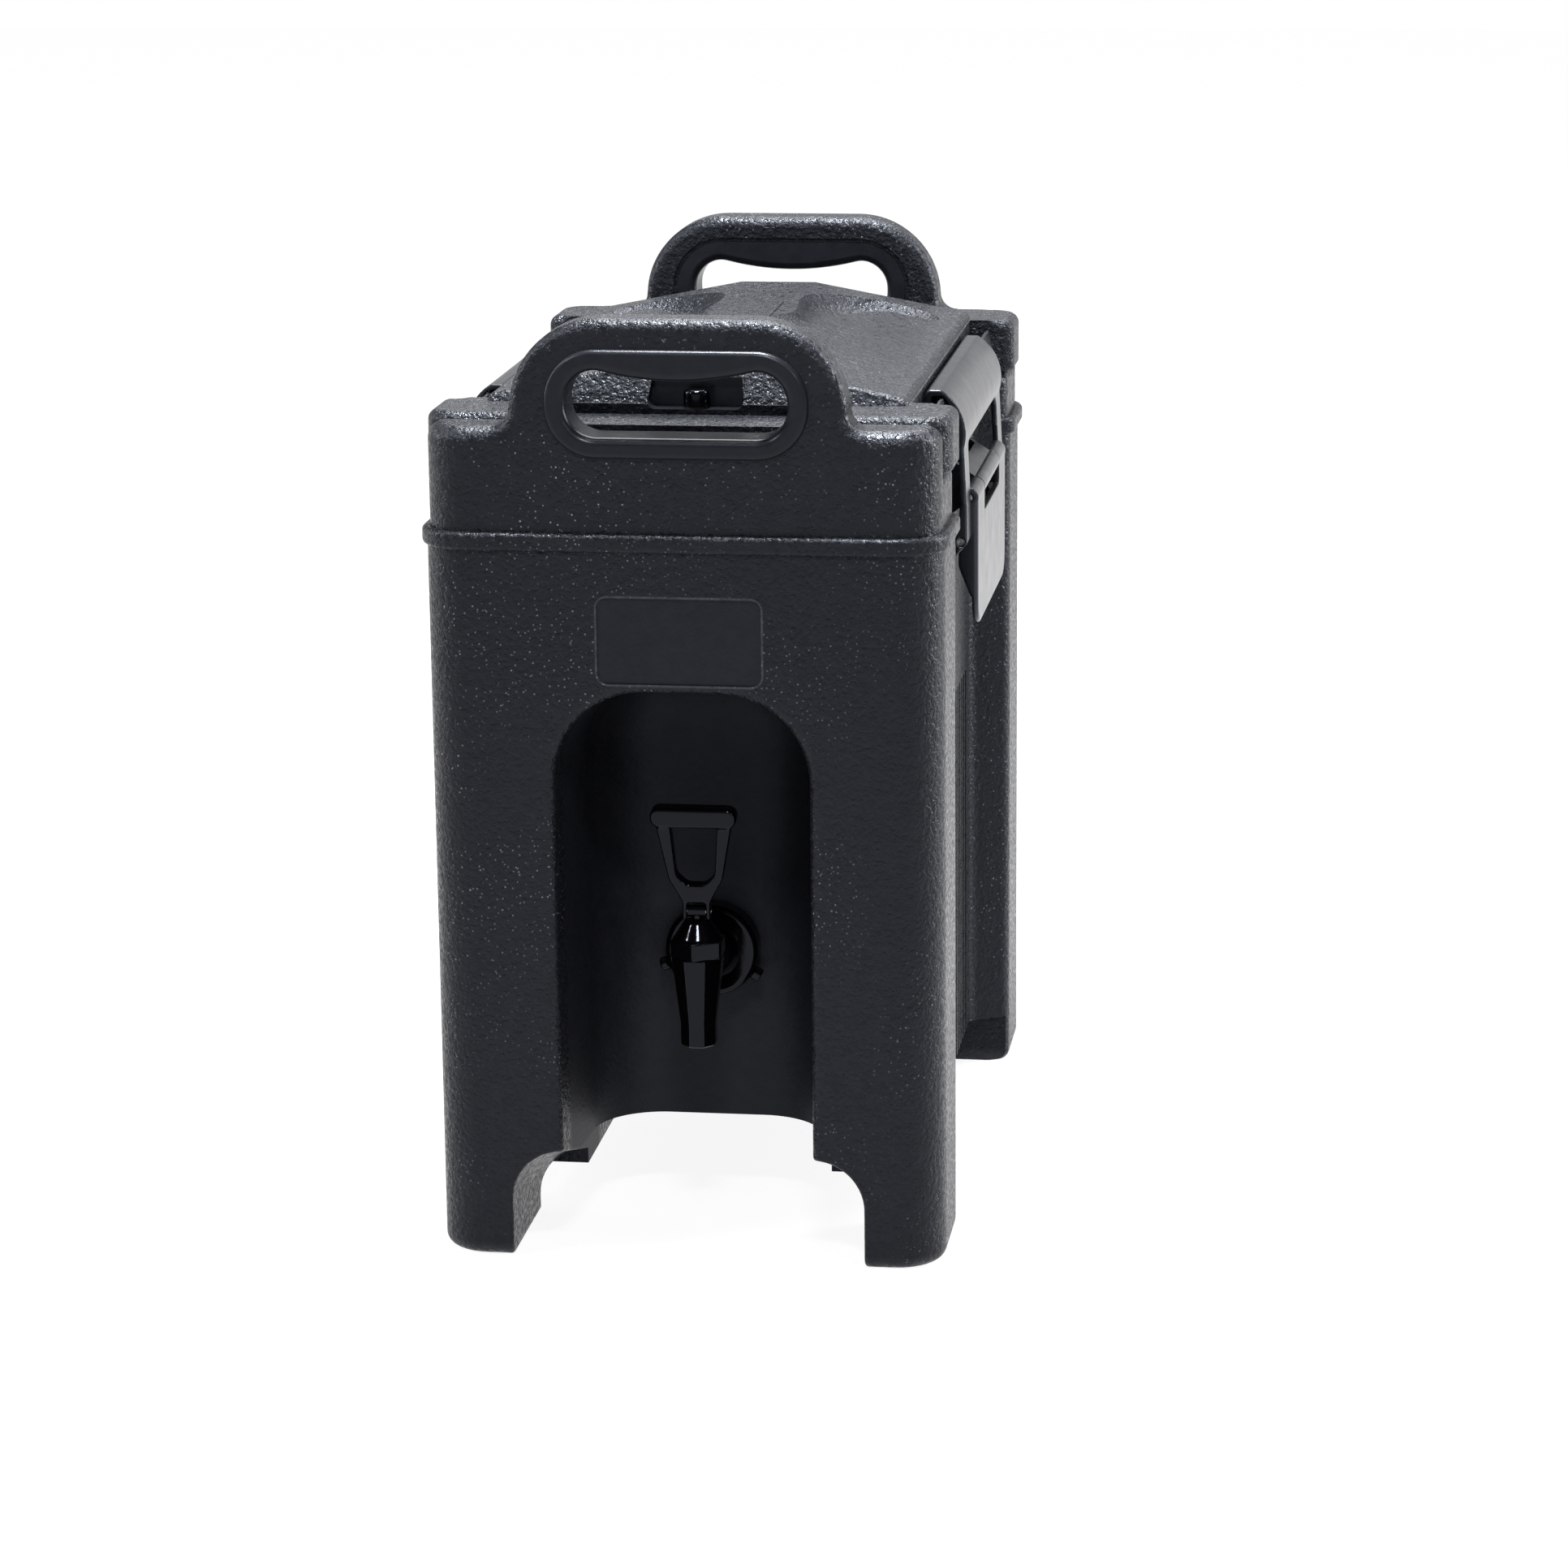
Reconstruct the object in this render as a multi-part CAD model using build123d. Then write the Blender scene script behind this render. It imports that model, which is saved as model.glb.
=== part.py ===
from build123d import *
import math
import os

# Insulated beverage server: foam-filled moulded body, lift-off lid held by two side
# latches, front and rear moulded handles and a pull-to-pour faucet in a front alcove.
# Millimetres. Origin at the middle of the footprint on the floor, front faces -Y, +Z up.

# ---- body ----
body_width = 250
body_depth = 419
corner_radius = 24
band_inset = 1.5            # the band above the bead steps in by this much
bead_low = 354
bead_high = 363
bead_out = 2.5
rim_height = 386            # top of the columns and of the tank mouth
shoulder_height = 413       # top of the front and rear end walls
end_wall = 24
end_top_radius = 8
column_top_radius = 4
foot_edge_radius = 6

# ---- carrying handles, one moulded on each end wall ----
handle_top = 465
handle_half_width = 81
handle_corner_radius = 45
handle_flare = 9
handle_edge_radius = 6
grip_hole_half_width = 53
grip_hole_low = 409
grip_hole_high = 441
grip_hole_radius = 15
grip_bulge = 5              # the grip bar is fuller in the middle
ring_width = 10             # smooth rolled ring round the grip hole
ring_out = 3
ring_groove = 2.5            # groove round the ring on the inner face
ring_groove_depth = 1.2
grip_edge_radius = 4
grip_blend_radius = 12

# ---- faucet alcove and the notch between the front feet ----
alcove_half_width = 62
alcove_top = 286
alcove_back = 110           # distance of its back wall in front of the middle
alcove_top_radius = 44
alcove_back_radius = 34
alcove_draft = 3.5          # degrees
alcove_edge_radius = 5
notch_half_width = 87
notch_height = 55
notch_radius = 25
notch_edge_radius = 2
foot_height = 26
foot_round_height = 10
channel_height = 45
label_half_width = 39.5
label_low = 290.5
label_high = 332
label_depth = 1

# ---- side recesses between the columns ----
recess_floor = 104          # distance of the recess floor from the middle
recess_half_length = 139    # at the outer face
recess_floor_half_length = 128
recess_radius = 9           # inside corners
column_radius = 8           # outside corners
rib_top = 232
rib_pitch = 10
rib_width = 5
rib_depth = 1.2
rib_panel = 3                # thickness of the ribbed skin

# ---- tank and insulation ----
tank_half_width = 84
tank_front = -70
tank_rear = 166
tank_floor = 114
tank_radius = 25
tank_floor_radius = 5
skin = 4
foam_gap = 6                # least thickness of the outer shell round the foam
foam_floor = 56
foam_top = 372
foam_rear = 196

# ---- lid ----
gasket_height = 2
gasket_width = 6
lid_end_clearance = 1
lid_half_width = 127
lid_block_top = 416
lid_corner_radius = 14
lid_block_radius = 6          # where a block meets the latch side
lid_top_radius = 5.5
lid_bottom_radius = 3
lid_block_length = 45
lid_ledge = 411
lid_ledge_half_width = 74
dome_half_width = 103
dome_side = 419
dome_top = 436
spine_half_width = 20
dome_end = 151              # distance of the dome's foot from the middle
dome_end_run = 13           # how far the end face leans back
dome_side_radius = 5
dome_hip_radius = 3
# middle line of the rear hand scoop: x, y, half width, depth below the flank
scoop_line = [(27, -34, 2, 0.3), (31, 16, 9, 3), (37, 62, 14, 6), (50, 98, 18, 8),
              (70, 108, 14, 6), (90, 100, 3, 0.5)]
panel_half_width = 14
panel_half_length = 62
panel_out = 0.8
plug_clearance = 2
plug_depth = 20
lid_foam_top = 406
lid_foam_half_width = 92
lid_foam_half_length = 174
liner_plate = 3
lid_room_radius = 12
plug_edge_radius = 6
rail_outer = 117.5
rail_corner_radius = 3
rail_groove = 103.8         # inner wall of the latch groove
rail_lip = 112.2            # inner face of the lip that the hook holds
rail_top = 410.6
groove_floor = 404
rail_bottom = 393
rail_under = 104.5           # inner end of the space under the rail
rail_bevel = 1.4             # width of the lip's top
rail_shoulder = 398          # where the lip's outer slope ends

# ---- vent in the front face of the lid ----
vent_half_width = 22
vent_low = 413.5
vent_high = 428
vent_pocket_depth = 14
vent_y = -144.5
vent_tube_radius = 4
vent_clearance = 0.3
vent_cap_radius = 6.5
vent_cap_height = 8
vent_seal_height = 1

# ---- latches ----
pivot_x = 124               # lever pivot A
pivot_z = 357.6
draw_x = 122.5              # strap pivot B, carried by the lever
draw_z = 338.8
lever_half_width = 71
lever_face = 129
lever_plate = 3.2
lever_bottom = 292
lever_corner_radius = 14
flange_thickness = 3
knuckle_radius = 5.2
knuckle_split = 38          # half width of the bracket's centre knuckle
knuckle_gap = 0.4
knuckle_notch = 12
latch_pin_radius = 2
running_clearance = 0.05
strap_half_width = 92
strap_thickness = 3
strap_window_top = 386
strap_window_rise = 13
strap_gap = 1               # between the lever's flange and the strap's leg
hook_inner = 105
hook_tip = 406.5
strap_lip_gap = 1.2
bracket_plate = 3
bracket_low = 330
bracket_high = 382
screw_radius = 2
screw_depth = 6
screw_head_radius = 3.8
screw_head_height = 2

# ---- faucet ----
spout_y = -166
shank_z = 135
shank_radius = 9.5
shank_bore = 6
spout_tip = 99
spout_neck = 110.5
spout_shoulder = 145
spout_top_radius = 13.5
spout_tip_radius = 9.3
outlet_radius = 5.5
chamber_radius = 8.5
chamber_floor = 126
bonnet_radius = 14.5        # across the corners of the hex
bonnet_hex = 9
bonnet_top = 163
stem_radius = 2.3
stem_clearance = 0.3
cup_radius = 7.6
cup_height = 6
spring_radius = 5
spring_wire = 0.6
spring_turns = 6
handle_pin_z = 167
handle_pin_radius = 1.2
handle_grip_top = 222.5
handle_plate_height = 10
handle_plate_half_width = 21.4
handle_lean = 8             # mm that the top stands forward of the pin
handle_depth = 7
fork_outer = 7
fork_inner = 4.6
collar_radius = 23.5
collar_length = 13
washer_thickness = 2
inner_nut_radius = 17
inner_nut_length = 9

lid_low = rim_height + gasket_height
lid_half_depth = body_depth / 2 - band_inset - end_wall - lid_end_clearance
front = -body_depth / 2


def slab(half_x, y_low, y_high, z_low, z_high):
    """A box by its half width and its limits in Y and Z."""
    size = (2 * half_x, y_high - y_low, z_high - z_low)
    return Pos(0, (y_low + y_high) / 2, (z_low + z_high) / 2) * Box(*size)


def block(x_low, x_high, y_low, y_high, z_low, z_high):
    size = (x_high - x_low, y_high - y_low, z_high - z_low)
    middle = ((x_low + x_high) / 2, (y_low + y_high) / 2, (z_low + z_high) / 2)
    return Pos(*middle) * Box(*size)


def plan(grow, z_low, z_high):
    """Footprint with the two side recesses, grown outwards, between two heights."""
    outline = RectangleRounded(body_width + 2 * grow, body_depth + 2 * grow, corner_radius + grow)
    edge = body_width / 2 + grow
    for side in (-1, 1):
        corners = [(side * recess_floor, -recess_floor_half_length),
                   (side * recess_floor, recess_floor_half_length),
                   (side * edge, recess_half_length), (side * (edge + 9), recess_half_length),
                   (side * (edge + 9), -recess_half_length), (side * edge, -recess_half_length)]
        outline -= make_face(Polyline(*corners, close=True))
    inside = [v for v in outline.vertices() if abs(abs(v.X) - recess_floor) < 0.1]
    outline = fillet(inside, recess_radius)
    outside = [v for v in outline.vertices()
               if abs(abs(v.Y) - recess_half_length) < 0.1 and abs(abs(v.X) - edge) < 0.1]
    outline = fillet(outside, column_radius)
    return extrude(Plane.XY.offset(z_low) * outline, amount=z_high - z_low)


def along_y(outline, y_low, y_high):
    """Extrude an X-Z outline from y_low to y_high."""
    face = Plane(origin=(0, y_low, 0), x_dir=(1, 0, 0), z_dir=(0, -1, 0)) * outline
    return extrude(face, amount=-(y_high - y_low))


def rod_y(x, z, radius, y_low, y_high):
    return Pos(x, (y_low + y_high) / 2, z) * Rot(90, 0, 0) * Cylinder(radius, y_high - y_low)


def both_ends(shape):
    return shape + mirror(shape, about=Plane.XZ)


def both_sides(shape):
    return shape + mirror(shape, about=Plane.YZ)


def tank_block(grow, z_low, z_high):
    """The tank's plan, grown outwards, between two heights."""
    wide = 2 * (tank_half_width + grow)
    deep = tank_rear - tank_front + 2 * grow
    outline = Pos(0, (tank_front + tank_rear) / 2) * RectangleRounded(wide, deep, tank_radius + grow)
    return extrude(Plane.XY.offset(z_low) * outline, amount=z_high - z_low)


# ---- body ----

def grip_outline(grow):
    """The grip hole's outline with a fuller grip bar above it, grown outwards."""
    middle = (grip_hole_low + grip_hole_high) / 2
    tall = grip_hole_high - grip_hole_low
    outline = RectangleRounded(2 * (grip_hole_half_width + grow), tall + 2 * grow,
                               grip_hole_radius + grow)
    return Pos(0, middle) * outline


def grip_hole():
    reach = grip_hole_half_width - grip_hole_radius
    top = grip_hole_high + 1
    bar = ThreePointArc((-reach, grip_hole_high), (0, grip_hole_high - grip_bulge),
                        (reach, grip_hole_high))
    bar += Polyline((reach, grip_hole_high), (reach, top), (-reach, top), (-reach, grip_hole_high))
    hole = grip_outline(0) - make_face(bar)
    ends = [v for v in hole.vertices() if abs(abs(v.X) - reach) < 0.5 and v.Y > grip_hole_high - 1]
    return fillet(ends, grip_blend_radius)


def handle():
    """Front handle: a rounded loop on flared feet, with a rolled ring round the hole."""
    low = shoulder_height - end_top_radius - 2
    w = handle_half_width
    loop = Pos(0, (low + handle_top) / 2) * Rectangle(2 * w, handle_top - low)
    loop = fillet([v for v in loop.vertices() if v.Y > low + 1], handle_corner_radius)
    flare_top = shoulder_height + handle_flare
    feet = Pos(0, (low + flare_top) / 2) * Rectangle(2 * (w + handle_flare), flare_top - low)
    for side in (-1, 1):
        feet -= Pos(side * (w + handle_flare), flare_top) * Circle(handle_flare)
    face = front + band_inset
    bar = along_y(loop + feet, face, face + end_wall)
    rim = [e for e in bar.edges() if e.center().Z > shoulder_height + 1
           and (abs(e.center().Y - face) < 0.01 or abs(e.center().Y - face - end_wall) < 0.01)]
    bar = fillet(rim, handle_edge_radius)
    ring = along_y(grip_outline(ring_width), face - ring_out, face + 1)
    ring = fillet(ring.faces().sort_by(Axis.Y)[0].edges(), ring_out - 0.1)
    return bar + ring


def end_block():
    """Top of the front end wall, with rounded upper edges."""
    outline = RectangleRounded(body_width - 2 * band_inset, body_depth - 2 * band_inset,
                               corner_radius - band_inset)
    wall = extrude(Plane.XY.offset(rim_height - 12) * outline, amount=shoulder_height - rim_height + 12)
    wall = fillet(wall.faces().sort_by(Axis.Z)[-1].edges(), end_top_radius)
    inner = front + band_inset + end_wall
    wall &= slab(body_width, front - 5, inner, 0, shoulder_height + 1)
    return wall


def grip_end():
    """Front end wall with its handle, pierced by the grip hole with rounded edges."""
    outer = front + band_inset - ring_out
    inner = front + band_inset + end_wall
    end = end_block() + handle() - along_y(grip_hole(), outer - 1, inner + 1)
    rim = [e for e in end.edges() if abs(e.center().X) < grip_hole_half_width + 0.5
           and grip_hole_low - 1 < e.center().Z < grip_hole_high + 1
           and min(abs(e.center().Y - outer), abs(e.center().Y - inner)) < 0.01]
    end = fillet(rim, grip_edge_radius)
    groove = grip_outline(ring_width + ring_groove) - grip_outline(ring_width)
    return end - along_y(groove, inner - ring_groove_depth, inner + 1)


def alcove():
    """Arched and drafted pocket, open at the front and the bottom, round at the back."""
    w = alcove_half_width
    arch = Pos(0, alcove_top / 2 - 1) * Rectangle(2 * w, alcove_top + 2)
    arch = fillet([v for v in arch.vertices() if v.Y > alcove_top / 2], alcove_top_radius)
    face = Plane(origin=(0, front, 0), x_dir=(1, 0, 0), z_dir=(0, -1, 0)) * arch
    tool = extrude(face, amount=front + alcove_back, taper=alcove_draft)
    back = tool.faces().sort_by(Axis.Y)[-1].edges().sort_by(Axis.Z)[1:]
    return fillet(back, alcove_back_radius)


def notch_outline(y, drop):
    """Elevation of the arch between the front feet, lowered by drop."""
    w, r, top = notch_half_width, notch_radius, notch_height - drop
    line = Polyline((-w, top - r), (-w, -1), (w, -1), (w, top - r))
    line += RadiusArc((w, top - r), (w - r, top), -r)
    line += Line((w - r, top), (r - w, top))
    line += RadiusArc((r - w, top), (-w, top - r), -r)
    return Plane(origin=(0, y, 0), x_dir=(1, 0, 0), z_dir=(0, -1, 0)) * make_face(line)


def underside():
    """What is cut away below: front and rear notches, the gaps between the feet, a channel."""
    gap = recess_half_length
    cut = loft([notch_outline(front, 0), notch_outline(-gap, notch_height - foot_height - 8)])
    cut += loft([notch_outline(gap, notch_height - foot_height - 8),
                 notch_outline(-front + 1, notch_height - foot_height - 8)])
    cut += slab(body_width, -gap, gap, -1, foot_height)
    cut += slab(alcove_half_width, front, gap, -1, channel_height + 0.01)
    return cut


def rib_block():
    """Space of the ribbed skin on the recess floor of the right side."""
    half = recess_floor_half_length - recess_radius
    return block(recess_floor - rib_panel, recess_floor, -half, half, foot_height, rib_top)


def rib_skin():
    """Ribbed skin on the recess floor: grooves leave vertical ribs."""
    count = int((recess_floor_half_length - recess_radius - rib_width) / rib_pitch)
    half = (rib_pitch - rib_width) / 2
    skin_block = rib_block()
    for i in range(-count, count + 1):
        y = i * rib_pitch
        skin_block -= block(recess_floor - rib_depth, recess_floor + 1, y - half, y + half,
                            foot_height - 1, rib_top - half)
    return skin_block


def foam_room():
    half = recess_floor - rib_depth - foam_gap
    room = slab(half, foam_gap - alcove_back, foam_rear, foam_floor, foam_top)
    return fillet(room.edges().filter_by(Axis.Z), tank_radius)


def shank_hole():
    return rod_y(0, shank_z, shank_radius + stem_clearance, -alcove_back - 5, tank_front + 5)


def front_edges(shape, x_low, x_high, z_low):
    """Edges in the front face with their middle between two distances from the centre line."""
    flat = [e for e in shape.edges() if abs(e.center().Y - front) < 0.01]
    return [e for e in flat if x_low < abs(e.center().X) < x_high
            and z_low < e.center().Z < alcove_top + 1]


def lower_body():
    """Body up to the bead, with the alcove, the notches and rounded feet."""
    feet = plan(0, 0, foot_round_height)
    feet = fillet(feet.faces().sort_by(Axis.Z)[0].edges(), foot_edge_radius)
    body = plan(0, foot_round_height, bead_low + 1) - alcove()
    mouth = front_edges(body, -1, alcove_half_width + 1, notch_height + 5)
    body = fillet(mouth, alcove_edge_radius) + feet - underside()
    notch = front_edges(body, alcove_half_width, notch_half_width + 1, foot_edge_radius - 0.1)
    return fillet(notch, notch_edge_radius)


def moulded_body():
    """The whole outer moulding, which is exported in level pieces that meet face to face."""
    bead = plan(bead_out, bead_low, bead_high)
    bead = fillet(bead.edges().filter_by(Plane.XY), bead_out)
    band = plan(-band_inset, bead_low, rim_height)
    band = fillet(band.faces().sort_by(Axis.Z)[-1].edges(), column_top_radius)
    body = lower_body() + bead + band + both_ends(grip_end())
    label = Pos(0, (label_low + label_high) / 2) * RectangleRounded(
        2 * label_half_width, label_high - label_low, 4)
    body -= along_y(label, front - 1, front + label_depth)
    body -= both_sides(rib_block())
    body -= foam_room() + tank_block(skin, tank_floor - skin, rim_height + 1) + shank_hole()
    screws = screw_shanks()
    return body - screws - [mirror(screw, about=Plane.YZ) for screw in screws]


def body_pieces():
    """Level pieces of the moulding: base, walls, rim and the two grips."""
    body = moulded_body()
    levels = {"body_base": (-1, foam_floor), "body_shell": (foam_floor, foam_top),
              "body_rim": (foam_top, rim_height)}
    pieces = {name: body & slab(body_width, -body_depth, body_depth, *level)
              for name, level in levels.items()}
    pieces["front_grip"] = body & slab(body_width, -body_depth, 0, rim_height, handle_top + 1)
    pieces["rear_grip"] = body & slab(body_width, 0, body_depth, rim_height, handle_top + 1)
    return pieces


def tank_liner():
    outer = tank_block(skin, tank_floor - skin, rim_height)
    cavity = tank_block(0, tank_floor, rim_height + 1)
    outer = fillet(outer.faces().sort_by(Axis.Z)[0].edges(), tank_floor_radius + skin)
    cavity = fillet(cavity.faces().sort_by(Axis.Z)[0].edges(), tank_floor_radius)
    return outer - cavity - shank_hole()


def insulation_foam():
    return foam_room() - tank_block(skin, tank_floor - skin, rim_height) - shank_hole()


# ---- lid ----

def lid_slab():
    """Corner blocks and the flat part of the lid, between the two end walls."""
    outline = RectangleRounded(2 * lid_half_width, 2 * lid_half_depth, lid_corner_radius)
    length = lid_half_depth - lid_block_length
    for side in (-1, 1):
        outline -= Pos(side * (rail_outer + 20), 0) * Rectangle(40, 2 * length)
    steps = [v for v in outline.vertices() if abs(abs(v.Y) - length) < 0.1]
    outline = fillet([v for v in steps if abs(v.X) > rail_outer + 1], lid_block_radius)
    steps = [v for v in outline.vertices() if abs(abs(v.Y) - length) < 0.1]
    outline = fillet([v for v in steps if abs(abs(v.X) - rail_outer) < 0.1], rail_corner_radius)
    base = extrude(Plane.XY.offset(lid_low) * outline, amount=lid_block_top - lid_low)
    base = fillet(base.faces().sort_by(Axis.Z)[-1].edges(), lid_top_radius)
    return fillet(base.faces().sort_by(Axis.Z)[0].edges(), lid_bottom_radius)


def dome():
    """Low hipped roof: flat spine, sloping flanks, leaning end faces."""
    side = dome_side
    outline = Polyline((-dome_half_width, lid_low + 4), (-dome_half_width, side),
                       (-spine_half_width, dome_top), (spine_half_width, dome_top),
                       (dome_half_width, side), (dome_half_width, lid_low + 4), close=True)
    roof = along_y(make_face(outline), -dome_end, dome_end)
    lean = Polyline((-dome_end - 5, lid_ledge), (-dome_end, lid_ledge),
                    (-dome_end + dome_end_run, dome_top + 1), (-dome_end - 5, dome_top + 1), close=True)
    cut = extrude(Plane.YZ.offset(-body_width / 2) * make_face(lean), amount=body_width)
    roof -= both_ends(cut)
    sides = [e for e in roof.edges() if abs(e.center().Z - side) < 0.1
             and abs(abs(e.center().X) - dome_half_width) < 0.1]
    roof = fillet(sides, dome_side_radius)
    hips = [e for e in roof.edges() if e.center().Z > side + 1]
    return fillet(hips, dome_hip_radius)


def flank(x):
    """Height of the dome's sloping flank at a distance from the middle."""
    return dome_top - (dome_top - dome_side) * (x - spine_half_width) / (dome_half_width - spine_half_width)


def scoop():
    """Hand scoop in the right flank: a round-bottomed valley that swings out to the rear corner."""
    rings = []
    for i, (x, y, wide, deep) in enumerate(scoop_line):
        before, after = scoop_line[max(i - 1, 0)], scoop_line[min(i + 1, len(scoop_line) - 1)]
        radius = (wide ** 2 + deep ** 2) / (2 * deep)
        at = Plane(origin=(x, y, flank(x) - deep + radius), x_dir=(0, 0, 1),
                   z_dir=(after[0] - before[0], after[1] - before[1], 0))
        rings.append(at * Circle(radius))
    return loft(rings)


def lid_shell():
    shell = lid_slab() + dome()
    ledge = slab(lid_ledge_half_width, -lid_half_depth - 1, -dome_end, lid_ledge, lid_block_top + 1)
    shell -= both_ends(ledge)
    shell -= both_sides(scoop())
    length = lid_half_depth - lid_block_length
    groove = block(rail_groove, rail_lip, -length, length, groove_floor, lid_block_top + 9)
    outside = block(rail_lip, lid_half_width + 1, -length, length, rail_top, lid_block_top + 9)
    under = block(rail_under, lid_half_width + 1, -length, length, lid_low - 1, rail_bottom)
    slope = make_face(Polyline((rail_lip + rail_bevel, rail_top + 1), (rail_outer - 0.5, rail_shoulder),
                               (lid_half_width + 1, rail_shoulder), (lid_half_width + 1, rail_top + 1),
                               close=True))
    shell -= both_sides(groove + outside + under + along_y(slope, -length, length))
    panel = Pos(0, 0) * RectangleRounded(2 * panel_half_width, 2 * panel_half_length, 5)
    shell += extrude(Plane.XY.offset(dome_top - 1) * panel, amount=panel_out + 1)
    return shell - lid_room() - vent_pocket() - vent_hole(vent_clearance)


def lid_room():
    """Hollow inside the lid that holds its foam."""
    room = slab(lid_foam_half_width, -lid_foam_half_length, lid_foam_half_length, lid_low, lid_foam_top)
    return fillet(room.edges().filter_by(Axis.Z), lid_room_radius)


def vent_pocket():
    """Recess in the front face of the dome, with sloping sides."""
    w = vent_half_width
    sides = make_face(Polyline((-w - 2, vent_low), (w + 2, vent_low), (w, vent_high),
                               (-w, vent_high), close=True))
    sides = fillet([v for v in sides.vertices() if v.Y < vent_low + 1], 4)
    return along_y(sides, -dome_end - 2, -dome_end + vent_pocket_depth)


def vent_hole(grow):
    height = vent_low - lid_low + 2
    return Pos(0, vent_y, lid_low - 1 + height / 2) * Cylinder(vent_tube_radius + grow, height)


def plug(grow, z_low, z_high):
    return tank_block(-plug_clearance + grow, z_low, z_high)


def lid_liner():
    """Underside of the lid: a plate that closes the foam room, and the plug in the mouth."""
    plate_top = lid_low + liner_plate
    plate = lid_room() & slab(body_width, -body_depth, body_depth, 0, plate_top)
    bung = plug(0, rim_height - plug_depth, lid_low + 1)
    bung = fillet(bung.faces().sort_by(Axis.Z)[0].edges(), plug_edge_radius)
    hollow = plug(-skin, rim_height - plug_depth + skin, plate_top + 1)
    return plate + bung - hollow - vent_hole(vent_clearance)


def lid_foam():
    plate_top = lid_low + liner_plate
    upper = lid_room() & slab(body_width, -body_depth, body_depth, plate_top, lid_foam_top)
    lower = plug(-skin, rim_height - plug_depth + skin, plate_top + 1)
    return upper + lower - vent_hole(vent_clearance)


def lid_gasket():
    outer = plug(gasket_width + 1, rim_height, lid_low)
    return outer - plug(1, rim_height - 1, lid_low + 1)


def vent_cap():
    """Pull-up vent: a round cap on a hollow stem that reaches down to the lid's underside."""
    low = vent_low + vent_seal_height
    cap = Pos(0, vent_y, low + vent_cap_height / 2) * Cylinder(vent_cap_radius, vent_cap_height)
    cap = fillet(cap.edges().sort_by(Axis.Z)[-1], 2)
    length = low - lid_low
    stem = Pos(0, vent_y, lid_low + length / 2) * Cylinder(vent_tube_radius, length)
    bore = Pos(0, vent_y, lid_low + length / 2) * Cylinder(vent_tube_radius - 1.5, length)
    return cap + stem - bore


def vent_seal():
    ring = Cylinder(vent_cap_radius - 0.5, vent_seal_height)
    ring -= Cylinder(vent_tube_radius + vent_clearance, vent_seal_height + 1)
    return Pos(0, vent_y, vent_low + vent_seal_height / 2) * ring


# ---- latches, drawn for the right side ----

def latch_bracket():
    """Back plate on the recess floor with ribs that carry the lever's centre knuckle."""
    half = knuckle_split
    plate = block(recess_floor, recess_floor + bracket_plate, -half, half, bracket_low, bracket_high)
    plate = fillet(plate.edges().filter_by(Axis.X), 5)
    arm = make_face(Polyline((recess_floor + 1, pivot_z + 18), (pivot_x, pivot_z + knuckle_radius),
                             (pivot_x, pivot_z - knuckle_radius), (recess_floor + 1, pivot_z - 20),
                             close=True))
    web = along_y(arm, -half, half)
    for y in (-half / 2, half / 2):
        web -= along_y(arm, y - half / 2 + 5, y + half / 2 - 5) & block(
            recess_floor, pivot_x - knuckle_radius - 2, -half, half, bracket_low - 9, bracket_high + 9)
    bracket = plate + web + rod_y(pivot_x, pivot_z, knuckle_radius, -half, half)
    bracket -= rod_y(pivot_x, pivot_z, latch_pin_radius, -half - 1, half + 1)
    return bracket - screw_shanks()


def screw_places():
    return [(y, z) for y in (-knuckle_split + 9, knuckle_split - 9)
            for z in (bracket_low + 7, bracket_high - 6)]


def screw_shanks():
    """Shanks of the four bracket screws, from the wall to the plate's outer face."""
    x_low, x_high = recess_floor - screw_depth, recess_floor + bracket_plate
    rods = []
    for y, z in screw_places():
        at = Pos((x_low + x_high) / 2, y, z) * Rot(0, 90, 0)
        rods.append(at * Cylinder(screw_radius, x_high - x_low))
    return rods


def bracket_screws():
    """Four pan-head screws through the bracket into the recess floor."""
    screws = []
    for (y, z), shank in zip(screw_places(), screw_shanks()):
        x_mid = recess_floor + bracket_plate + screw_head_height / 2
        head = Pos(x_mid, y, z) * Rot(0, 90, 0) * Cylinder(screw_head_radius, screw_head_height)
        head = fillet(head.edges().sort_by(Axis.X)[-1], screw_head_height / 2)
        screws.append(head + shank)
    return screws


def lever_flange():
    """Side flange of the lever in X-Z: deep at the strap pivot, fading to the plate's foot."""
    inner = lever_face - lever_plate
    foot = lever_bottom + lever_corner_radius
    points = [(pivot_x - knuckle_radius + 1, pivot_z), (draw_x - 3.5, draw_z + 2), (draw_x - 3.5, draw_z - 16),
              (inner - 1, foot + 2), (inner + 1, foot), (inner + 1, pivot_z)]
    return make_face(Polyline(*points, close=True))


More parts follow.
